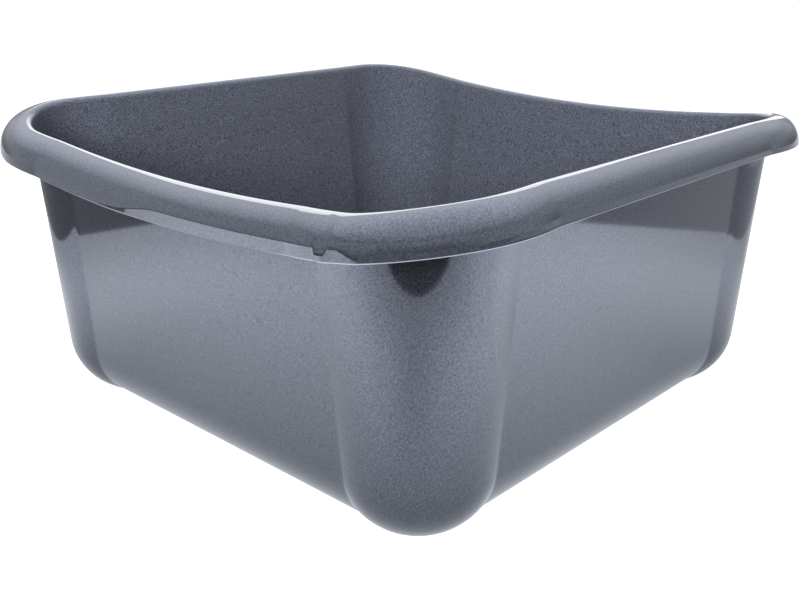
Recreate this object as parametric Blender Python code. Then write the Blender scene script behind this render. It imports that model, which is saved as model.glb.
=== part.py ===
"""A square plastic washing-up bowl, moulded in one piece, with a rolled rim that dips on two sides."""
import math

import bmesh
import bpy

# Sizes over all
RIM_WIDTH = 0.320               # across the bowl, over the rolled rim
RIM_HEIGHT = 0.1515             # from the table to the crest of the rim at its corners
WALL_THICKNESS = 0.0018

# Walls
WALL_DRAFT = 0.0110             # how much further out a wall is at the rim than at the table
CORNER_RADIUS = 0.0400          # corner columns in plan, level with the rim
BASE_ROUNDING = 0.0300          # the walls turn into the base on this radius
FLAT_CORNER_RADIUS = 0.002      # corners of the flat that the base rounding leaves
PANEL_RECESS = 0.0020           # the flat panels lie this far behind the columns, at the rim
BASE_PANEL_RECESS = 0.0024      # and this far level with the table
PANEL_FLANK = 0.0185            # length of the flank between a panel and a column, at the rim
BASE_FLANK = 0.0108             # and level with the table

# Rolled rim
RIM_OVERHANG = 0.0141           # from the outside of a column to the outside of the rim
RIM_DEPTH = 0.0145              # from the crest to the rim's lower edge
RIM_SKIRT = 0.0042              # strip above the lower edge
SKIRT_LEAN = 0.0005             # the strip's lower edge stands in by this
RIM_RECESS = 0.0014             # the columns' step on the outside of the rim
RIM_FLANK = 0.0170              # length of the flank that makes this step
CREST_ROUNDING = 0.0035         # the wall's inner face rolls over into the crest on this radius
CREST_RECESS = 0.0010           # the columns' step along the crest
CREST_FLANK = 0.0192            # length of the flank that makes this step
LIP_ROUNDING = 0.0006           # edges of the rim's lower lip

# Dip of the rim along the front and back
DIP_DEPTH = 0.0125
DIP_HALF_LENGTH = 0.1465
DIP_EXTRA_DEPTH = 0.0021        # the lower edge dips this much more than the crest, by a taller strip

# Underside
FOOT_WIDTH = 0.008              # flat ring that the bowl stands on
BASE_RECESS = 0.001             # the base inside that ring is set up by this

# Shares of the sizes that they follow
DIP_EASE_SHARE = 0.54           # softness of the dip's two ends
CREASE_SHARE = 0.12             # softness of the crease where a flank meets its panel
FLANK_SPAN_SHARE = 1.3          # the flank's points run on past the crease, as far as this
WALL_ROW_SHARES = (1 / 3, 2 / 3)

# Counts
FLAT_STEPS = 3
FLANK_STEPS = 6
CORNER_STEPS = 5
BASE_STEPS = 5
RIM_STEPS = 6
UNDERSIDE_STEPS = 4
CREST_STEPS = 3

EIGHTH_TURN = math.pi / 4
QUARTER_TURN = math.pi / 2
SHARP_EDGE = math.radians(40)

COLUMN_HALF_WIDTH = RIM_WIDTH / 2 - RIM_OVERHANG
BASE_CORNER_RADIUS = BASE_ROUNDING + FLAT_CORNER_RADIUS
EDGE_LEVEL = RIM_HEIGHT - RIM_DEPTH
FLOOR_LEVEL = BASE_RECESS + WALL_THICKNESS
INNER_ROUNDING = BASE_ROUNDING - WALL_THICKNESS
CREST_OUTSET = CREST_ROUNDING - WALL_THICKNESS


def clear_scene():
    for item in list(bpy.data.objects):
        bpy.data.objects.remove(item, do_unlink=True)


def mix(a, b, share):
    return a + (b - a) * share


def ease(share):
    """Smooth step from 0 to 1."""
    held = min(max(share, 0.0), 1.0)
    return held * held * (3 - 2 * held)


def arc_shares(steps):
    """Cosine and sine of the angles of a quarter turn, from its start to its end."""
    angles = [QUARTER_TURN * k / steps for k in range(steps + 1)]
    return [(math.cos(angle), math.sin(angle)) for angle in angles]


def plan_sizes(level, grow, on_rim):
    """Half width, column radius, panel recess and flank of the outline, grown outwards by grow."""
    share = 1.0 if on_rim else level / RIM_HEIGHT
    half_width = COLUMN_HALF_WIDTH - WALL_DRAFT * (1 - share) + grow
    radius = max(mix(BASE_CORNER_RADIUS, CORNER_RADIUS, share) + grow, FLAT_CORNER_RADIUS)
    if on_rim:
        across = max(grow - CREST_OUTSET, 0.0) / (RIM_OVERHANG - CREST_OUTSET)
        recess = mix(CREST_RECESS, RIM_RECESS, across)
        flank = mix(CREST_FLANK, RIM_FLANK, across)
    else:
        recess = mix(BASE_PANEL_RECESS, PANEL_RECESS, share)
        flank = mix(BASE_FLANK, PANEL_FLANK, share)
    return half_width, radius, recess, flank


def half_side(half_width, radius, recess, flank):
    """Points of half a side, from its middle to the middle of its corner: along, out and turn.

    The round column stands proud of the flat panel. Its flank falls back in a parabola, and meets
    the panel in a crease that is a little softened.
    """
    centre = half_width - radius
    flank_end = centre - flank * FLANK_SPAN_SHARE
    stops = [mix(0.0, flank_end, k / FLAT_STEPS) for k in range(FLAT_STEPS)]
    stops += [mix(flank_end, centre, k / FLANK_STEPS) for k in range(FLANK_STEPS)]
    points = []
    for along in stops:
        fall = ((centre - along) / flank) ** 2
        held = (1 + fall - math.hypot(1 - fall, CREASE_SHARE)) / 2
        points.append((along, half_width - recess * held, 0.0))
    for k in range(CORNER_STEPS + 1):
        turn = EIGHTH_TURN * k / CORNER_STEPS
        points.append((centre + radius * math.sin(turn), centre + radius * math.cos(turn), turn))
    return points


def outline(level, grow, on_rim):
    """The closed outline of one ring, as x, y and how far each point belongs to a dipping side."""
    half = half_side(*plan_sizes(level, grow, on_rim))
    side = [(-along, out, turn) for along, out, turn in reversed(half[1:])] + half[:-1]
    ring = []
    for quarter in range(4):
        dips = quarter % 2 == 1
        for along, out, turn in side:
            corner_share = turn / QUARTER_TURN
            weight = ease(1 - corner_share if dips else corner_share)
            x, y = out, along
            for _ in range(quarter):
                x, y = -y, x
            ring.append((x, y, weight))
    return ring


def dip_share(x, weight):
    """Depth of the dip at a point of the crest, as a share of the dip at the middle of a side."""
    hump = 1 - (x / DIP_HALF_LENGTH) ** 2
    soft = (hump + math.hypot(hump, DIP_EASE_SHARE)) / (1 + math.hypot(1, DIP_EASE_SHARE))
    return soft * weight


def lowering(level):
    """How far a ring at this level sinks at the middle of a dipping side."""
    edge_dip = DIP_DEPTH + DIP_EXTRA_DEPTH
    if level < EDGE_LEVEL:
        return edge_dip * max(level - BASE_ROUNDING, 0.0) / (EDGE_LEVEL - BASE_ROUNDING)
    return mix(edge_dip, DIP_DEPTH, min((level - EDGE_LEVEL) / RIM_SKIRT, 1.0))


def base_rings():
    """The underside: the recessed middle, the foot ring and the outer rounding."""
    foot = -(BASE_ROUNDING + FOOT_WIDTH)
    rings = [(BASE_RECESS, foot - BASE_RECESS, False), (0.0, foot, False)]
    for rise, spread in arc_shares(BASE_STEPS):
        inset = BASE_ROUNDING * (1 - spread)
        rings.append((BASE_ROUNDING * (1 - rise), -inset, False))
    return rings


def outer_wall_rings():
    return [(mix(BASE_ROUNDING, EDGE_LEVEL, share), 0.0, False) for share in (*WALL_ROW_SHARES, 1)]


def channel_rings():
    """The open channel under the rim, from the wall over its ceiling and down to the lip."""
    rings = []
    for spread, rise in arc_shares(CREST_STEPS)[:-1]:
        level = RIM_HEIGHT - CREST_ROUNDING + CREST_OUTSET * rise
        rings.append((level, CREST_OUTSET * (1 - spread), True))
    across = RIM_OVERHANG - CREST_OUTSET - WALL_THICKNESS
    down = RIM_DEPTH - RIM_SKIRT - WALL_THICKNESS
    for rise, spread in arc_shares(UNDERSIDE_STEPS):
        drop = WALL_THICKNESS + down * (1 - rise)
        rings.append((RIM_HEIGHT - drop, CREST_OUTSET + across * spread, True))
    return rings


def lip_rings():
    outside = RIM_OVERHANG - SKIRT_LEAN
    inside = outside - WALL_THICKNESS
    return [
        (EDGE_LEVEL + LIP_ROUNDING, inside, True),
        (EDGE_LEVEL, inside + LIP_ROUNDING, True),
        (EDGE_LEVEL, outside - LIP_ROUNDING, True),
        (EDGE_LEVEL + LIP_ROUNDING, outside, True),
    ]


def rim_rings():
    """The outside of the rim, from the top of its skirt up to the crest."""
    rings = []
    for across, rise in arc_shares(RIM_STEPS):
        level = EDGE_LEVEL + RIM_SKIRT + (RIM_DEPTH - RIM_SKIRT) * rise
        rings.append((level, mix(CREST_OUTSET, RIM_OVERHANG, across), True))
    return rings


def crest_rings():
    """The rounded inner edge of the rim, from the crest down to the wall's inner face."""
    rings = []
    for down, across in arc_shares(CREST_STEPS)[1:]:
        level = RIM_HEIGHT - CREST_ROUNDING * (1 - down)
        rings.append((level, CREST_OUTSET - CREST_ROUNDING * across, True))
    return rings


def inner_wall_rings():
    foot = FLOOR_LEVEL + INNER_ROUNDING
    return [(mix(EDGE_LEVEL, foot, share), -WALL_THICKNESS, False) for share in (0, *WALL_ROW_SHARES)]


def inner_rounding_rings():
    rings = []
    for spread, drop in arc_shares(BASE_STEPS):
        level = FLOOR_LEVEL + INNER_ROUNDING * (1 - drop)
        inset = WALL_THICKNESS + INNER_ROUNDING * (1 - spread)
        rings.append((level, -inset, False))
    return rings


def bowl_rings():
    """The whole skin as rings, from the middle of the underside to the middle of the floor."""
    under = base_rings() + outer_wall_rings() + channel_rings() + lip_rings()
    over = rim_rings() + crest_rings() + inner_wall_rings() + inner_rounding_rings()
    return under + over


def add_ring(bm, dips, level, grow, on_rim):
    sink = lowering(level)
    points = outline(level, grow, on_rim)
    return [bm.verts.new((x, y, level - sink * dip)) for (x, y, _), dip in zip(points, dips)]


def join_rings(bm, lower, upper):
    count = len(lower)
    for k in range(count):
        after = (k + 1) % count
        bm.faces.new((lower[k], lower[after], upper[after], upper[k]))


def cap_ring(bm, ring):
    """Closes a flat ring with a fan about its middle."""
    face = bm.faces.new(ring)
    bmesh.ops.poke(bm, faces=[face])


def bowl_mesh():
    bm = bmesh.new()
    dips = [dip_share(x, weight) for x, _, weight in outline(RIM_HEIGHT, 0.0, True)]
    rings = [add_ring(bm, dips, *ring) for ring in bowl_rings()]
    for lower, upper in zip(rings, rings[1:]):
        join_rings(bm, lower, upper)
    cap_ring(bm, rings[0])
    cap_ring(bm, rings[-1])
    bmesh.ops.recalc_face_normals(bm, faces=bm.faces)
    mesh = bpy.data.meshes.new("bowl")
    bm.to_mesh(mesh)
    bm.free()
    mesh.shade_smooth()
    mesh.set_sharp_from_angle(angle=SHARP_EDGE)
    return mesh


def silver_plastic():
    """Glossy grey plastic with a fine metallic flake."""
    material = bpy.data.materials.new("silver_plastic")
    material.use_nodes = True
    shader = material.node_tree.nodes["Principled BSDF"]
    shader.inputs["Base Color"].default_value = (0.235, 0.255, 0.305, 1)
    shader.inputs["Metallic"].default_value = 0.3
    shader.inputs["Roughness"].default_value = 0.3
    return material


def make_bowl():
    mesh = bowl_mesh()
    mesh.materials.append(silver_plastic())
    bowl = bpy.data.objects.new("bowl", mesh)
    bpy.context.scene.collection.objects.link(bowl)
    return bowl


clear_scene()
make_bowl()
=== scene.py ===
"""Looks of the square washing-up bowl: its moulded skin in silver grey plastic, on a white floor."""
import math

import bmesh
import bpy
from mathutils import Matrix, Vector


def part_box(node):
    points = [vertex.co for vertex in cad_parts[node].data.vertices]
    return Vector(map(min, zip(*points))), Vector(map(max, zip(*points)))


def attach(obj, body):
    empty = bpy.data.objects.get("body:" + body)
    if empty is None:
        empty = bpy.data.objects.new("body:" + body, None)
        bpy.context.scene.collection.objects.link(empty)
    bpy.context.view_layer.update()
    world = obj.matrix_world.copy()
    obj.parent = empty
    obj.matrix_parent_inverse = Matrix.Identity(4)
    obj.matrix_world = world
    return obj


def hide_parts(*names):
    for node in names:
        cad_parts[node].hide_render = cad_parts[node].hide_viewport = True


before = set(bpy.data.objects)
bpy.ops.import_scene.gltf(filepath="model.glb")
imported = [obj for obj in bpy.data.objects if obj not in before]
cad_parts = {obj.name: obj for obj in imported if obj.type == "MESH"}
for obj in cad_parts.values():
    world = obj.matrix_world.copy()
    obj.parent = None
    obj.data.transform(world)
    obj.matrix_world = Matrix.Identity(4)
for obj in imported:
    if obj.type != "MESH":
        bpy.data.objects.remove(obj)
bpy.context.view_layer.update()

# Sizes over all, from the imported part
LOW_CORNER, HIGH_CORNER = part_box("bowl")
RIM_WIDTH = HIGH_CORNER.x - LOW_CORNER.x
RIM_HEIGHT = HIGH_CORNER.z - LOW_CORNER.z

# Sizes that the part's source names, in metres
WALL_THICKNESS = 0.0018

# Walls
WALL_DRAFT = 0.0110             # how much further out a wall is at the rim than at the table
CORNER_RADIUS = 0.0400          # corner columns in plan, level with the rim
BASE_ROUNDING = 0.0300          # the walls turn into the base on this radius
FLAT_CORNER_RADIUS = 0.002      # corners of the flat that the base rounding leaves
PANEL_RECESS = 0.0020           # the flat panels lie this far behind the columns, at the rim
BASE_PANEL_RECESS = 0.0024      # and this far level with the table
PANEL_FLANK = 0.0185            # length of the flank between a panel and a column, at the rim
BASE_FLANK = 0.0108             # and level with the table

# Rolled rim
RIM_OVERHANG = 0.0141           # from the outside of a column to the outside of the rim
RIM_DEPTH = 0.0145              # from the crest to the rim's lower edge
RIM_RECESS = 0.0014             # the columns' step on the outside of the rim
RIM_FLANK = 0.0170              # length of the flank that makes this step
CREST_ROUNDING = 0.0035         # the wall's inner face rolls over into the crest on this radius
CREST_RECESS = 0.0010           # the columns' step along the crest
CREST_FLANK = 0.0192            # length of the flank that makes this step
LIP_ROUNDING = 0.0006           # edges of the rim's lower lip

# Strip above the lip, on part of each dipping side. Lengths along start at the side's middle.
RIM_SKIRT = 0.0042              # height of the strip
PLAIN_SKIRT = 0.0009            # height left elsewhere, where the roll runs down almost to the edge
SKIRT_LEAN = 0.0009             # the strip's lower edge stands in by this
STRIP_START = -0.03             # the strip grows from this far along
STRIP_START_TAPER = 0.04        # to its full height after this length
STRIP_END_TURN = math.radians(19)   # it runs out this far round the column
STRIP_TAPER_TURN = math.radians(8)  # along this much of the turn
STRIP_NOTCH = (0.1052, 0.1105)  # mould mark in the strip's top edge: its start and end along
NOTCH_SHARE = 0.35              # share of the strip's height that the mark leaves
LIP_HIGHLIGHT_START = 0.065            # a highlight is painted on the lip's edge from this far along, on every side
LIP_HIGHLIGHT_TAPER = 0.035            # and fully so after this length

# Dip of the rim along the front and back
DIP_DEPTH = 0.0125
DIP_HALF_LENGTH = 0.1465
DIP_EXTRA_DEPTH = 0.0021        # the lower edge dips this much more than the crest, by a taller strip

# Underside
FOOT_WIDTH = 0.008              # flat ring that the bowl stands on
BASE_RECESS = 0.001             # the base inside that ring is set up by this

# Shares of the sizes that they follow
DIP_EASE_SHARE = 0.54           # softness of the dip's two ends
CREASE_SHARE = 0.12             # softness of the crease where a flank meets its panel
FLANK_SPAN_SHARE = 1.3          # the flank's points run on past the crease, as far as this

# Counts of the fine skin
FLAT_STEPS = 12
FLANK_STEPS = 30
CORNER_STEPS = 20
BASE_STEPS = 16
WALL_STEPS = 12
RIM_STEPS = 20
UNDERSIDE_STEPS = 10
CREST_STEPS = 8
LIP_STEPS = 4
EDGE_SUPPORT = 0.0002           # rings this close to an edge keep it crisp
MERGE_DISTANCE = 0.000006       # points closer than this become one

EIGHTH_TURN = math.pi / 4
QUARTER_TURN = math.pi / 2
SHARP_EDGE = math.radians(50)

COLUMN_HALF_WIDTH = RIM_WIDTH / 2 - RIM_OVERHANG
BASE_CORNER_RADIUS = BASE_ROUNDING + FLAT_CORNER_RADIUS
EDGE_LEVEL = RIM_HEIGHT - RIM_DEPTH
FLOOR_LEVEL = BASE_RECESS + WALL_THICKNESS
INNER_ROUNDING = BASE_ROUNDING - WALL_THICKNESS
CREST_OUTSET = CREST_ROUNDING - WALL_THICKNESS

# Camera, from the fit to the photograph
PHOTO_WIDTH = 800
FOCAL_PIXELS = 1020.6
CAMERA_PLACE = Vector((0.35937, -0.38174, 0.23788))
CAMERA_YAW = 0.71288
CAMERA_PITCH = 0.29165
CAMERA_ROLL = 0.01473
CENTRE_SHIFT_X = 50             # pixels from the middle of the frame to the optical centre
CENTRE_SHIFT_Y = 60
SENSOR_WIDTH = 36.0
CLIP_START = 0.01

# Plastic
OUTSIDE_DARK = (0.046, 0.0505, 0.0625, 1)
OUTSIDE_LIGHT = (0.115, 0.1265, 0.1565, 1)
# Painted highlight: a lighter colour on the lip's outer edge, standing in for its reflection of the sheet
LIP_HIGHLIGHT_COLOUR = (0.42, 0.45, 0.5, 1)
INSIDE_DARK = (0.05, 0.0545, 0.07, 1)
INSIDE_LIGHT = (0.2, 0.218, 0.275, 1)
OUTSIDE_METALLIC = 0.8
INSIDE_METALLIC = 0.0
GLOSS_ROUGHNESS = 0.08
MATTE_ROUGHNESS = 0.5
COAT_ROUGHNESS = 0.05
SPECULAR_LEVEL = 0.2
FLAKES_PER_METRE = 1250
FLAKE_DETAIL = 2
FLAKE_TONES = (0.3, 0.7)        # the noise turns from quite dark to quite light between these

# Sockets of a node that mixes colours, which share their names with those for other values
MIX_SHARE, MIX_FIRST, MIX_SECOND = 0, 6, 7
MIX_RESULT = 2

# Studio, in metres. Tones are strengths of STUDIO_WHITE, and show in the gloss of the bowl.
FLOOR_SIZE = 12.0
FLOOR_COLOUR = (0.8, 0.8, 0.8, 1)
FLOOR_LIFT = 0.82               # brings the lit sheet up to white for the camera
STUDIO_WHITE = (1.0, 1.05, 1.16, 1)
FOOT_HALF_WIDTH = 0.1           # the sheet pales outwards from a square of this half width
PALE_DISTANCE = 0.205           # until this far from it
FOOT_SHADOW_TONE = 0.5                 # tone of the painted shadow on the sheet under that square
PALE_TONE = 1.7                 # and at that distance
SHEET_FADES = (                 # axis across or away from the camera, start, end, share left there
    ("Y", -0.22, -0.44, 0.42),
    # painted shade on the sheet behind the bowl
    ("Y", -0.11, 0.16, 0.35),
    ("X", -0.26, -0.42, 0.7),
)
SHADE_CENTRE = (0.203, -0.234, 0)   # soft shade in front of the near corner
SHADE_RADIUS = 0.1              # its reach
SHADE_SHARE = 0.78              # share of the sheet's tone that it leaves
SHEET_SIDE = 0.405              # from the middle of the bowl to the sheet's left and right edges
SHEET_FRONT = 0.39              # and to its near edge
SURROUND_SIZE = 5.0
TABLE_LEVEL = 0.0008            # just above the floor
FRONT_TABLE_TONE = 0.4
SIDE_TABLE_TONE = 0.65
DARK_STRIP_LEVEL = 0.0012       # just above the table
DARK_STRIPS = (                 # name, tone, and two corners on the table
    ("front", 0.03, (-0.2, -0.5), (0.25, -SHEET_FRONT)),
    ("left", 0.2, (-0.6, -0.6), (-SHEET_SIDE, 2.5)),
    ("right", 0.42, (SHEET_SIDE, -0.6), (0.6, 2.5)),
)
SKY_STRENGTH = 0.28             # light of the sky on the object and the floor
SKY_RISE = (0.1, 0.9)           # heights of a direction with the low and the high tone
LOW_SKY_TONE = 0.35
HIGH_SKY_TONE = 2.0
CAMERA_SKY_SHARE = 0.65         # share of these tones behind the camera
CAMERA_SKY_REACH = (-0.7, 0.35) # it grows to 1 between these shares of the way ahead
ROOM_RADIUS = 2.0
ROOM_HEIGHT = 0.95
ROOM_REACH = math.radians(140)  # the dark room goes this far round to each side of the camera
ROOM_STEPS = 50
ROOM_MIDDLE_TONE = 0.3          # low down behind the camera
ROOM_SIDE_TONE = 0.75           # low down to its sides
ROOM_END_SHARE = 0.3            # share of that at the room's two ends
ROOM_HIGH_TONE = 0.8            # along the room's top

SOFTBOXES = (                   # name, azimuth, elevation, distance, size, power, seen in the gloss
    ("back_softbox", 135.5, 15.75, 2.5, (1.82, 0.95), 7.4, True),
    ("back_right_softbox", 109, 10.5, 2.5, (0.57, 0.57), 1.35, True),
    ("top_softbox", 100, 75, 1.8, (1.4, 1.0), 11, False),
    ("fill_softbox", -58, 18, 1.8, (0.8, 0.6), 30, False),
)


def mix(a, b, share):
    return a + (b - a) * share


def ease(share):
    """Smooth step from 0 to 1."""
    held = min(max(share, 0.0), 1.0)
    return held * held * (3 - 2 * held)


def arc_shares(steps):
    """Cosine and sine of the angles of a quarter turn, from its start to its end."""
    angles = [QUARTER_TURN * k / steps for k in range(steps + 1)]
    return [(math.cos(angle), math.sin(angle)) for angle in angles]


def plan_sizes(level, grow, on_rim):
    """Half width, column radius, panel recess and flank of the outline, grown outwards by grow."""
    share = 1.0 if on_rim else level / RIM_HEIGHT
    half_width = COLUMN_HALF_WIDTH - WALL_DRAFT * (1 - share) + grow
    radius = max(mix(BASE_CORNER_RADIUS, CORNER_RADIUS, share) + grow, FLAT_CORNER_RADIUS)
    if on_rim:
        across = max(grow - CREST_OUTSET, 0.0) / (RIM_OVERHANG - CREST_OUTSET)
        recess = mix(CREST_RECESS, RIM_RECESS, across)
        flank = mix(CREST_FLANK, RIM_FLANK, across)
    else:
        recess = mix(BASE_PANEL_RECESS, PANEL_RECESS, share)
        flank = mix(BASE_FLANK, PANEL_FLANK, share)
    return half_width, radius, recess, flank


def half_side(half_width, radius, recess, flank):
    """Points of half a side, from its middle to the middle of its corner: along, out and turn.

    The round column stands proud of the flat panel. Its flank falls back in a parabola, and meets
    the panel in a crease that is a little softened.
    """
    centre = half_width - radius
    flank_end = centre - flank * FLANK_SPAN_SHARE
    stops = [mix(0.0, flank_end, k / FLAT_STEPS) for k in range(FLAT_STEPS)]
    stops += [mix(flank_end, centre, k / FLANK_STEPS) for k in range(FLANK_STEPS)]
    points = []
    for along in stops:
        fall = ((centre - along) / flank) ** 2
        held = (1 + fall - math.hypot(1 - fall, CREASE_SHARE)) / 2
        points.append((along, half_width - recess * held, 0.0))
    for k in range(CORNER_STEPS + 1):
        turn = EIGHTH_TURN * k / CORNER_STEPS
        points.append((centre + radius * math.sin(turn), centre + radius * math.cos(turn), turn))
    return points


def strip_weight(along, turn):
    """1 along the strip above the lip, falling to 0 where the rim is a plain roll."""
    start = ease((along - STRIP_START) / STRIP_START_TAPER)
    end = min(max((STRIP_END_TURN - turn) / STRIP_TAPER_TURN, 0.0), 1.0)
    notch = NOTCH_SHARE if STRIP_NOTCH[0] < along < STRIP_NOTCH[1] else 1.0
    return start * end * notch


def outline(level, grow, on_rim):
    """The closed outline of one ring, as x, y and the weights of dip, strip and the painted highlight on
    the lip's edge.
    """
    half = half_side(*plan_sizes(level, grow, on_rim))
    side = [(-along, out, turn) for along, out, turn in reversed(half[1:])] + half[:-1]
    ring = []
    for quarter in range(4):
        dips = quarter % 2 == 1
        for along, out, turn in side:
            corner_share = turn / QUARTER_TURN
            weight = ease(1 - corner_share if dips else corner_share)
            strip = strip_weight(along, turn) if dips else 0.0
            lip_highlight = ease((abs(along) - LIP_HIGHLIGHT_START) / LIP_HIGHLIGHT_TAPER)
            x, y = out, along
            for _ in range(quarter):
                x, y = -y, x
            ring.append((x, y, weight, strip, lip_highlight))
    return ring


def dip_share(x, weight):
    """Depth of the dip at a point of the crest, as a share of the dip at the middle of a side."""
    hump = 1 - (x / DIP_HALF_LENGTH) ** 2
    soft = (hump + math.hypot(hump, DIP_EASE_SHARE)) / (1 + math.hypot(1, DIP_EASE_SHARE))
    return soft * weight


def lowering(level):
    """How far a ring at this level sinks at the middle of a dipping side."""
    edge_dip = DIP_DEPTH + DIP_EXTRA_DEPTH
    if level < EDGE_LEVEL:
        return edge_dip * max(level - BASE_ROUNDING, 0.0) / (EDGE_LEVEL - BASE_ROUNDING)
    return mix(edge_dip, DIP_DEPTH, min((level - EDGE_LEVEL) / RIM_SKIRT, 1.0))


def wall_shares():
    return [k / WALL_STEPS for k in range(1, WALL_STEPS)]


def base_rings():
    """The underside: the recessed middle, the foot ring and the outer rounding."""
    foot = -(BASE_ROUNDING + FOOT_WIDTH)
    step = foot - BASE_RECESS
    rings = [(BASE_RECESS, step - EDGE_SUPPORT, False), (BASE_RECESS, step, False)]
    rings += [(0.0, foot, False), (0.0, foot + EDGE_SUPPORT, False)]
    for rise, spread in arc_shares(BASE_STEPS):
        inset = BASE_ROUNDING * (1 - spread)
        rings.append((BASE_ROUNDING * (1 - rise), -inset, False))
    return rings


def outer_wall_rings():
    return [(mix(BASE_ROUNDING, EDGE_LEVEL, share), 0.0, False) for share in (*wall_shares(), 1)]


def channel_rings():
    """The open channel under the rim, from the wall over its ceiling and down to the lip."""
    rings = []
    for spread, rise in arc_shares(CREST_STEPS)[:-1]:
        level = RIM_HEIGHT - CREST_ROUNDING + CREST_OUTSET * rise
        rings.append((level, CREST_OUTSET * (1 - spread), True))
    across = RIM_OVERHANG - CREST_OUTSET - WALL_THICKNESS
    down = RIM_DEPTH - RIM_SKIRT - WALL_THICKNESS
    for rise, spread in arc_shares(UNDERSIDE_STEPS):
        drop = WALL_THICKNESS + down * (1 - rise)
        rings.append((RIM_HEIGHT - drop, CREST_OUTSET + across * spread, True))
    return rings


def lip_rings():
    """The rim's lower lip, with both of its edges rounded."""
    inside = RIM_OVERHANG - WALL_THICKNESS
    rings = []
    for rise, spread in arc_shares(LIP_STEPS):
        level = EDGE_LEVEL + LIP_ROUNDING * (1 - spread)
        rings.append((level, inside + LIP_ROUNDING * (1 - rise), True, SKIRT_LEAN))
    for rise, spread in reversed(arc_shares(LIP_STEPS)):
        level = EDGE_LEVEL + LIP_ROUNDING * (1 - spread)
        rings.append((level, RIM_OVERHANG - LIP_ROUNDING * (1 - rise), True, SKIRT_LEAN))
    return rings


def skirt_rings():
    """The leaning strip above the lip, with close rings that keep its edges crisp."""
    low = EDGE_LEVEL + LIP_ROUNDING
    high = EDGE_LEVEL + RIM_SKIRT
    rings = []
    for level in (low + EDGE_SUPPORT, (low + high) / 2, high - EDGE_SUPPORT):
        share = (level - low) / (high - low)
        rings.append((level, RIM_OVERHANG, True, SKIRT_LEAN * (1 - share), share))
    return rings


def rim_rings():
    """The outside of the rim, from the top of its strip up to the crest."""
    rings = []
    for across, rise in arc_shares(RIM_STEPS):
        level = EDGE_LEVEL + RIM_SKIRT + (RIM_DEPTH - RIM_SKIRT) * rise
        rings.append((level, mix(CREST_OUTSET, RIM_OVERHANG, across), True, 0.0, 1 - rise))
    rings.insert(1, (rings[0][0] + EDGE_SUPPORT, RIM_OVERHANG, True, 0.0, 1.0))
    return rings


def crest_rings():
    """The rounded inner edge of the rim, from the crest down to the wall's inner face."""
    rings = []
    for down, across in arc_shares(CREST_STEPS)[1:]:
        level = RIM_HEIGHT - CREST_ROUNDING * (1 - down)
        rings.append((level, CREST_OUTSET - CREST_ROUNDING * across, True))
    return rings


def inner_wall_rings():
    foot = FLOOR_LEVEL + INNER_ROUNDING
    return [(mix(EDGE_LEVEL, foot, share), -WALL_THICKNESS, False) for share in (0, *wall_shares())]


def inner_rounding_rings():
    rings = []
    for spread, drop in arc_shares(BASE_STEPS):
        level = FLOOR_LEVEL + INNER_ROUNDING * (1 - drop)
        inset = WALL_THICKNESS + INNER_ROUNDING * (1 - spread)
        rings.append((level, -inset, False))
    return rings


def bowl_rings():
    """The whole skin as rings, from the middle of the underside to the middle of the floor."""
    under = base_rings() + outer_wall_rings() + channel_rings() + lip_rings() + skirt_rings()
    over = rim_rings() + crest_rings() + inner_wall_rings() + inner_rounding_rings()
    return under + over


def add_ring(bm, dips, level, grow, on_rim, drawn_in=0.0, follow=0.0):
    """One ring of the skin.

    Along the strip above the lip it stands further in by drawn_in. Where the strip runs out, the
    ring sinks with the strip's top edge, by the share follow.
    """
    ring = []
    for (x, y, _, strip, _), dip in zip(outline(level, grow, on_rim), dips):
        own_level = level - follow * (RIM_SKIRT - PLAIN_SKIRT) * (1 - strip)
        inset = math.copysign(drawn_in * strip, y)
        ring.append(bm.verts.new((x, y - inset, own_level - lowering(own_level) * dip)))
    return ring


def join_rings(bm, lower, upper):
    count = len(lower)
    for k in range(count):
        after = (k + 1) % count
        bm.faces.new((lower[k], lower[after], upper[after], upper[k]))


def cap_ring(bm, ring):
    """Closes a flat ring with a fan about its middle."""
    face = bm.faces.new(ring)
    bmesh.ops.poke(bm, faces=[face])


def inside_shares():
    """For each ring, 0 on the glossy outside and 1 on the matt inside, eased over the rim's crest."""
    rings = bowl_rings()
    first_matt = len(rings) - len(inner_rounding_rings()) - len(inner_wall_rings())
    first_crest = first_matt - len(crest_rings())
    return [ease((k - first_crest + 1) / (first_matt - first_crest)) for k in range(len(rings))]


def lip_shares():
    """For each ring, 1 on the outer edge of the lip, which carries a painted highlight, and 0 elsewhere.
    """
    rings = bowl_rings()
    edge = lip_rings()[LIP_STEPS + 1:-1]
    return [1.0 if ring in edge else 0.0 for ring in rings]


def bowl_mesh():
    bm = bmesh.new()
    inside = bm.verts.layers.float.new("inside")
    # weight of the painted highlight on the lip's outer edge
    lip = bm.verts.layers.float.new("lip")
    rim_outline = outline(RIM_HEIGHT, 0.0, True)
    dips = [dip_share(x, weight) for x, _, weight, _, _ in rim_outline]
    rings = [add_ring(bm, dips, *ring) for ring in bowl_rings()]
    for ring, inside_share, lip_share in zip(rings, inside_shares(), lip_shares()):
        for vert, (*_, lip_highlight) in zip(ring, rim_outline):
            vert[inside] = inside_share
            vert[lip] = lip_share * lip_highlight
    for lower, upper in zip(rings, rings[1:]):
        join_rings(bm, lower, upper)
    cap_ring(bm, rings[0])
    cap_ring(bm, rings[-1])
    bmesh.ops.remove_doubles(bm, verts=bm.verts, dist=MERGE_DISTANCE)
    bmesh.ops.recalc_face_normals(bm, faces=bm.faces)
    mesh = bpy.data.meshes.new("moulded_skin")
    bm.to_mesh(mesh)
    bm.free()
    mesh.shade_smooth()
    mesh.set_sharp_from_angle(angle=SHARP_EDGE)
    return mesh


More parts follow.
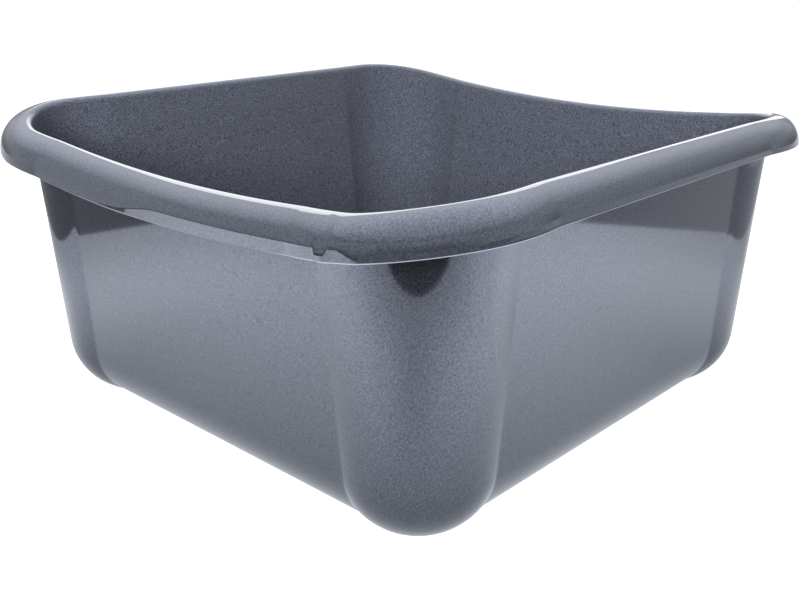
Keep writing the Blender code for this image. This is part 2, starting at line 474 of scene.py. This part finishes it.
def background_rays(tree):
    """1 for what the camera sees, directly or in metal and glass, and 0 for the light on the object."""
    path = tree.nodes.new("ShaderNodeLightPath")
    first = tree.nodes.new("ShaderNodeMath")
    first.operation = "ADD"
    tree.links.new(path.outputs["Is Camera Ray"], first.inputs[0])
    tree.links.new(path.outputs["Is Glossy Ray"], first.inputs[1])
    both = tree.nodes.new("ShaderNodeMath")
    both.operation = "ADD"
    both.use_clamp = True
    tree.links.new(first.outputs[0], both.inputs[0])
    tree.links.new(path.outputs["Is Transmission Ray"], both.inputs[1])
    return both.outputs[0]


def map_range(tree, value, low, high, to_low, to_high, smooth=True):
    node = tree.nodes.new("ShaderNodeMapRange")
    node.interpolation_type = "SMOOTHSTEP" if smooth else "LINEAR"
    tree.links.new(value, node.inputs["Value"])
    limits = {"From Min": low, "From Max": high, "To Min": to_low, "To Max": to_high}
    for name, number in limits.items():
        node.inputs[name].default_value = number
    return node.outputs["Result"]


def split_place(tree, socket):
    """The X, Y and Z outputs of the place or direction that is being shaded."""
    place = tree.nodes.new("ShaderNodeTexCoord")
    split = tree.nodes.new("ShaderNodeSeparateXYZ")
    tree.links.new(place.outputs[socket], split.inputs[0])
    return split.outputs


def turned_place(tree, socket):
    """The place or direction again, with X to the camera's right and Y away from the camera."""
    place = tree.nodes.new("ShaderNodeTexCoord")
    turn = tree.nodes.new("ShaderNodeVectorRotate")
    turn.rotation_type = "Z_AXIS"
    turn.inputs["Angle"].default_value = -CAMERA_YAW
    tree.links.new(place.outputs[socket], turn.inputs["Vector"])
    split = tree.nodes.new("ShaderNodeSeparateXYZ")
    tree.links.new(turn.outputs["Vector"], split.inputs[0])
    return split.outputs


def product(tree, first, second):
    times = tree.nodes.new("ShaderNodeMath")
    times.operation = "MULTIPLY"
    tree.links.new(first, times.inputs[0])
    tree.links.new(second, times.inputs[1])
    return times.outputs[0]


def vector_step(tree, operation, value, operand=(0, 0, 0)):
    step = tree.nodes.new("ShaderNodeVectorMath")
    step.operation = operation
    step.inputs[1].default_value = operand
    tree.links.new(value, step.inputs[0])
    return step.outputs["Value" if operation == "LENGTH" else "Vector"]


def flake_tone(tree, flake, dark, light):
    ramp = tree.nodes.new("ShaderNodeValToRGB")
    for element, position, tone in zip(ramp.color_ramp.elements, FLAKE_TONES, (dark, light)):
        element.position = position
        element.color = tone
    tree.links.new(flake.outputs["Fac"], ramp.inputs["Fac"])
    return ramp.outputs["Color"]


def silver_plastic():
    """Glossy grey plastic with a fine metallic flake, matt on the inside, with a painted highlight along
    the lip's edge.
    """
    material = bpy.data.materials.new("silver_plastic")
    material.use_nodes = True
    tree = material.node_tree
    shader = tree.nodes["Principled BSDF"]
    shader.inputs["Coat Roughness"].default_value = COAT_ROUGHNESS
    shader.inputs["Specular IOR Level"].default_value = SPECULAR_LEVEL
    place = tree.nodes.new("ShaderNodeTexCoord")
    flake = tree.nodes.new("ShaderNodeTexNoise")
    flake.inputs["Scale"].default_value = FLAKES_PER_METRE
    flake.inputs["Detail"].default_value = FLAKE_DETAIL
    tree.links.new(place.outputs["Object"], flake.inputs["Vector"])
    side = tree.nodes.new("ShaderNodeAttribute")
    side.attribute_name = "inside"
    tone = tree.nodes.new("ShaderNodeMix")
    tone.data_type = "RGBA"
    tree.links.new(side.outputs["Fac"], tone.inputs[MIX_SHARE])
    tree.links.new(flake_tone(tree, flake, OUTSIDE_DARK, OUTSIDE_LIGHT), tone.inputs[MIX_FIRST])
    tree.links.new(flake_tone(tree, flake, INSIDE_DARK, INSIDE_LIGHT), tone.inputs[MIX_SECOND])
    # painted highlight: the lip's outer edge is mixed towards a lighter colour
    lip_highlight = tree.nodes.new("ShaderNodeMix")
    lip_highlight.data_type = "RGBA"
    lip_highlight.inputs[MIX_SECOND].default_value = LIP_HIGHLIGHT_COLOUR
    edge = tree.nodes.new("ShaderNodeAttribute")
    edge.attribute_name = "lip"
    tree.links.new(edge.outputs["Fac"], lip_highlight.inputs[MIX_SHARE])
    tree.links.new(tone.outputs[MIX_RESULT], lip_highlight.inputs[MIX_FIRST])
    tree.links.new(lip_highlight.outputs[MIX_RESULT], shader.inputs["Base Color"])
    finish = {
        "Roughness": (GLOSS_ROUGHNESS, MATTE_ROUGHNESS),
        "Metallic": (OUTSIDE_METALLIC, INSIDE_METALLIC),
        "Coat Weight": (1.0, 0.0),
    }
    for name, (outside, inside) in finish.items():
        value = map_range(tree, side.outputs["Fac"], 0.0, 1.0, outside, inside, smooth=False)
        tree.links.new(value, shader.inputs[name])
    return material


def make_bowl():
    mesh = bowl_mesh()
    mesh.materials.append(silver_plastic())
    bowl = bpy.data.objects.new("moulded_bowl", mesh)
    bpy.context.scene.collection.objects.link(bowl)
    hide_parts("bowl")
    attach(bowl, "root")


def make_camera():
    data = bpy.data.cameras.new("photo_camera")
    data.sensor_width = SENSOR_WIDTH
    data.lens = FOCAL_PIXELS / PHOTO_WIDTH * SENSOR_WIDTH
    data.shift_x = -CENTRE_SHIFT_X / PHOTO_WIDTH
    data.shift_y = -CENTRE_SHIFT_Y / PHOTO_WIDTH
    data.clip_start = CLIP_START
    ahead = Vector((
        -math.sin(CAMERA_YAW) * math.cos(CAMERA_PITCH),
        math.cos(CAMERA_YAW) * math.cos(CAMERA_PITCH),
        -math.sin(CAMERA_PITCH),
    ))
    level_right = Vector((math.cos(CAMERA_YAW), math.sin(CAMERA_YAW), 0))
    level_up = level_right.cross(ahead)
    right = level_right * math.cos(CAMERA_ROLL) + level_up * math.sin(CAMERA_ROLL)
    up = right.cross(ahead)
    turn = Matrix((right, up, -ahead)).transposed()
    camera = bpy.data.objects.new("photo_camera", data)
    camera.matrix_world = Matrix.Translation(CAMERA_PLACE) @ turn.to_4x4()
    bpy.context.scene.collection.objects.link(camera)
    bpy.context.scene.camera = camera


def make_world():
    """Plain light on the object, and a sky for the camera and the gloss that is paler overhead."""
    world = bpy.data.worlds.new("studio")
    bpy.context.scene.world = world
    world.use_nodes = True
    tree = world.node_tree
    tree.nodes.clear()
    lit = tree.nodes.new("ShaderNodeBackground")
    lit.inputs["Strength"].default_value = SKY_STRENGTH
    seen = tree.nodes.new("ShaderNodeBackground")
    seen.inputs["Color"].default_value = STUDIO_WHITE
    rise = split_place(tree, "Generated")["Z"]
    tone = map_range(tree, rise, *SKY_RISE, LOW_SKY_TONE, HIGH_SKY_TONE)
    ahead = turned_place(tree, "Generated")["Y"]
    share = map_range(tree, ahead, *CAMERA_SKY_REACH, CAMERA_SKY_SHARE, 1.0)
    path = tree.nodes.new("ShaderNodeLightPath")
    white = tree.nodes.new("ShaderNodeMath")
    white.operation = "MAXIMUM"
    tree.links.new(product(tree, tone, share), white.inputs[0])
    tree.links.new(path.outputs["Is Camera Ray"], white.inputs[1])
    tree.links.new(white.outputs[0], seen.inputs["Strength"])
    either = tree.nodes.new("ShaderNodeMixShader")
    tree.links.new(background_rays(tree), either.inputs[0])
    tree.links.new(lit.outputs[0], either.inputs[1])
    tree.links.new(seen.outputs[0], either.inputs[2])
    output = tree.nodes.new("ShaderNodeOutputWorld")
    tree.links.new(either.outputs[0], output.inputs[0])


def gloss_tone(tree):
    """The sheet's tone in the gloss: a painted shadow at the bowl's foot, palest round it, painted shade
    in front of the near corner and behind the bowl, faded further out.
    """
    foot = (FOOT_HALF_WIDTH, FOOT_HALF_WIDTH, 0)
    place = tree.nodes.new("ShaderNodeTexCoord").outputs["Object"]
    mirrored = vector_step(tree, "ABSOLUTE", place)
    outside = vector_step(tree, "MAXIMUM", vector_step(tree, "SUBTRACT", mirrored, foot))
    from_foot = vector_step(tree, "LENGTH", outside)
    # painted shadow at the bowl's foot, paling outwards
    pale = map_range(tree, from_foot, 0.0, PALE_DISTANCE, FOOT_SHADOW_TONE, PALE_TONE)
    from_shade = vector_step(tree, "LENGTH", vector_step(tree, "SUBTRACT", place, SHADE_CENTRE))
    shade = map_range(tree, from_shade, 0.0, SHADE_RADIUS, SHADE_SHARE, 1.0)
    tone = product(tree, pale, shade)
    turned = turned_place(tree, "Object")
    for axis, start, end, share in SHEET_FADES:
        tone = product(tree, tone, map_range(tree, turned[axis], start, end, 1.0, share))
    return tone


def floor_material():
    """White sheet: lit by the lamps, and lifted to plain white where the camera sees it.

    The gloss of the plastic shows it in the tones that the photographer's sheet had.
    """
    material = bpy.data.materials.new("white_sheet")
    material.use_nodes = True
    tree = material.node_tree
    tree.nodes.clear()
    sheet = tree.nodes.new("ShaderNodeBsdfDiffuse")
    sheet.inputs["Color"].default_value = FLOOR_COLOUR
    none = tree.nodes.new("ShaderNodeEmission")
    none.inputs["Strength"].default_value = 0.0
    lift = tree.nodes.new("ShaderNodeEmission")
    lift.inputs["Strength"].default_value = FLOOR_LIFT
    lifted = tree.nodes.new("ShaderNodeMixShader")
    tree.links.new(background_rays(tree), lifted.inputs[0])
    tree.links.new(none.outputs[0], lifted.inputs[1])
    tree.links.new(lift.outputs[0], lifted.inputs[2])
    both = tree.nodes.new("ShaderNodeAddShader")
    tree.links.new(sheet.outputs[0], both.inputs[0])
    tree.links.new(lifted.outputs[0], both.inputs[1])
    mirrored = tree.nodes.new("ShaderNodeEmission")
    mirrored.inputs["Color"].default_value = STUDIO_WHITE
    tree.links.new(gloss_tone(tree), mirrored.inputs["Strength"])
    path = tree.nodes.new("ShaderNodeLightPath")
    either = tree.nodes.new("ShaderNodeMixShader")
    tree.links.new(path.outputs["Is Glossy Ray"], either.inputs[0])
    tree.links.new(both.outputs[0], either.inputs[1])
    tree.links.new(mirrored.outputs[0], either.inputs[2])
    output = tree.nodes.new("ShaderNodeOutputMaterial")
    tree.links.new(either.outputs[0], output.inputs[0])
    material.cycles.emission_sampling = "NONE"
    return material


def add_stage(name, points, faces, material):
    mesh = bpy.data.meshes.new(name)
    mesh.from_pydata(points, [], faces)
    mesh.materials.append(material)
    piece = bpy.data.objects.new(name, mesh)
    bpy.context.scene.collection.objects.link(piece)
    return piece


def make_floor():
    half = FLOOR_SIZE / 2
    corners = [(-half, -half, 0), (half, -half, 0), (half, half, 0), (-half, half, 0)]
    add_stage("floor", corners, [(0, 1, 2, 3)], floor_material())


def show_in_gloss_only(piece):
    piece.visible_camera = False
    piece.visible_diffuse = False
    piece.visible_transmission = False
    piece.visible_volume_scatter = False
    piece.visible_shadow = False


def plain_tone_material(name, tone):
    material = bpy.data.materials.new(name)
    material.use_nodes = True
    tree = material.node_tree
    tree.nodes.clear()
    glow = tree.nodes.new("ShaderNodeEmission")
    glow.inputs["Color"].default_value = STUDIO_WHITE
    glow.inputs["Strength"].default_value = tone
    output = tree.nodes.new("ShaderNodeOutputMaterial")
    tree.links.new(glow.outputs[0], output.inputs[0])
    material.cycles.emission_sampling = "NONE"
    return material


def add_table_piece(name, tone, level, low, high):
    """A level rectangle between two corners, square to the camera, that only the gloss shows."""
    corners = [(low[0], low[1]), (high[0], low[1]), (high[0], high[1]), (low[0], high[1])]
    points = [(x, y, level) for x, y in corners]
    piece = add_stage(name, points, [(0, 1, 2, 3)], plain_tone_material(name, tone))
    piece.rotation_euler = (0, 0, CAMERA_YAW)
    show_in_gloss_only(piece)


def make_surround():
    """The table round the white sheet, and darker strips on it."""
    half = SURROUND_SIZE / 2
    add_table_piece("table_front", FRONT_TABLE_TONE, TABLE_LEVEL, (-half, -half), (half, -SHEET_FRONT))
    add_table_piece("table_left", SIDE_TABLE_TONE, TABLE_LEVEL, (-half, -SHEET_FRONT), (-SHEET_SIDE, half))
    add_table_piece("table_right", SIDE_TABLE_TONE, TABLE_LEVEL, (SHEET_SIDE, -SHEET_FRONT), (half, half))
    for name, tone, low, high in DARK_STRIPS:
        add_table_piece("dark_strip_" + name, tone, DARK_STRIP_LEVEL, low, high)


def room_material():
    """The room behind the camera: dark straight behind it and at its ends, paler with height."""
    material = plain_tone_material("room", 1)
    tree = material.node_tree
    glow = next(node for node in tree.nodes if node.type == "EMISSION")
    place = split_place(tree, "Object")
    back, half = -ROOM_RADIUS, ROOM_RADIUS / 2
    side = map_range(tree, place["Y"], back, -half, ROOM_MIDDLE_TONE, ROOM_SIDE_TONE)
    end = map_range(tree, place["Y"], 0.0, half, 1.0, ROOM_END_SHARE)
    tone = map_range(tree, place["Z"], 0.0, ROOM_HEIGHT, 0.0, ROOM_HIGH_TONE)
    tree.links.new(product(tree, side, end), tone.node.inputs["To Min"])
    tree.links.new(tone, glow.inputs["Strength"])
    return material


def make_room():
    points = []
    for k in range(ROOM_STEPS + 1):
        angle = mix(-ROOM_REACH, ROOM_REACH, k / ROOM_STEPS)
        for level in (0, ROOM_HEIGHT):
            points.append((ROOM_RADIUS * math.sin(angle), -ROOM_RADIUS * math.cos(angle), level))
    faces = [(2 * k, 2 * k + 2, 2 * k + 3, 2 * k + 1) for k in range(ROOM_STEPS)]
    room = add_stage("room", points, faces, room_material())
    room.rotation_euler = (0, 0, CAMERA_YAW)
    show_in_gloss_only(room)


def make_softbox(name, azimuth, elevation, distance, size, power, in_gloss):
    """A soft lamp in the given direction from the bowl, in degrees, turned towards its rim."""
    data = bpy.data.lights.new(name, "AREA")
    data.shape = "RECTANGLE"
    data.size, data.size_y = size
    data.energy = power
    lamp = bpy.data.objects.new(name, data)
    turn, rise = math.radians(azimuth), math.radians(elevation)
    away = Vector((math.cos(rise) * math.cos(turn), math.cos(rise) * math.sin(turn), math.sin(rise)))
    lamp.location = Vector((0, 0, RIM_HEIGHT)) + away * distance
    lamp.rotation_euler = (-away).to_track_quat("-Z", "Y").to_euler()
    lamp.visible_glossy = in_gloss
    bpy.context.scene.collection.objects.link(lamp)


make_camera()
make_world()
make_floor()
make_surround()
make_room()
for softbox in SOFTBOXES:
    make_softbox(*softbox)
make_bowl()

scene = bpy.context.scene
scene.view_settings.view_transform = "Standard"
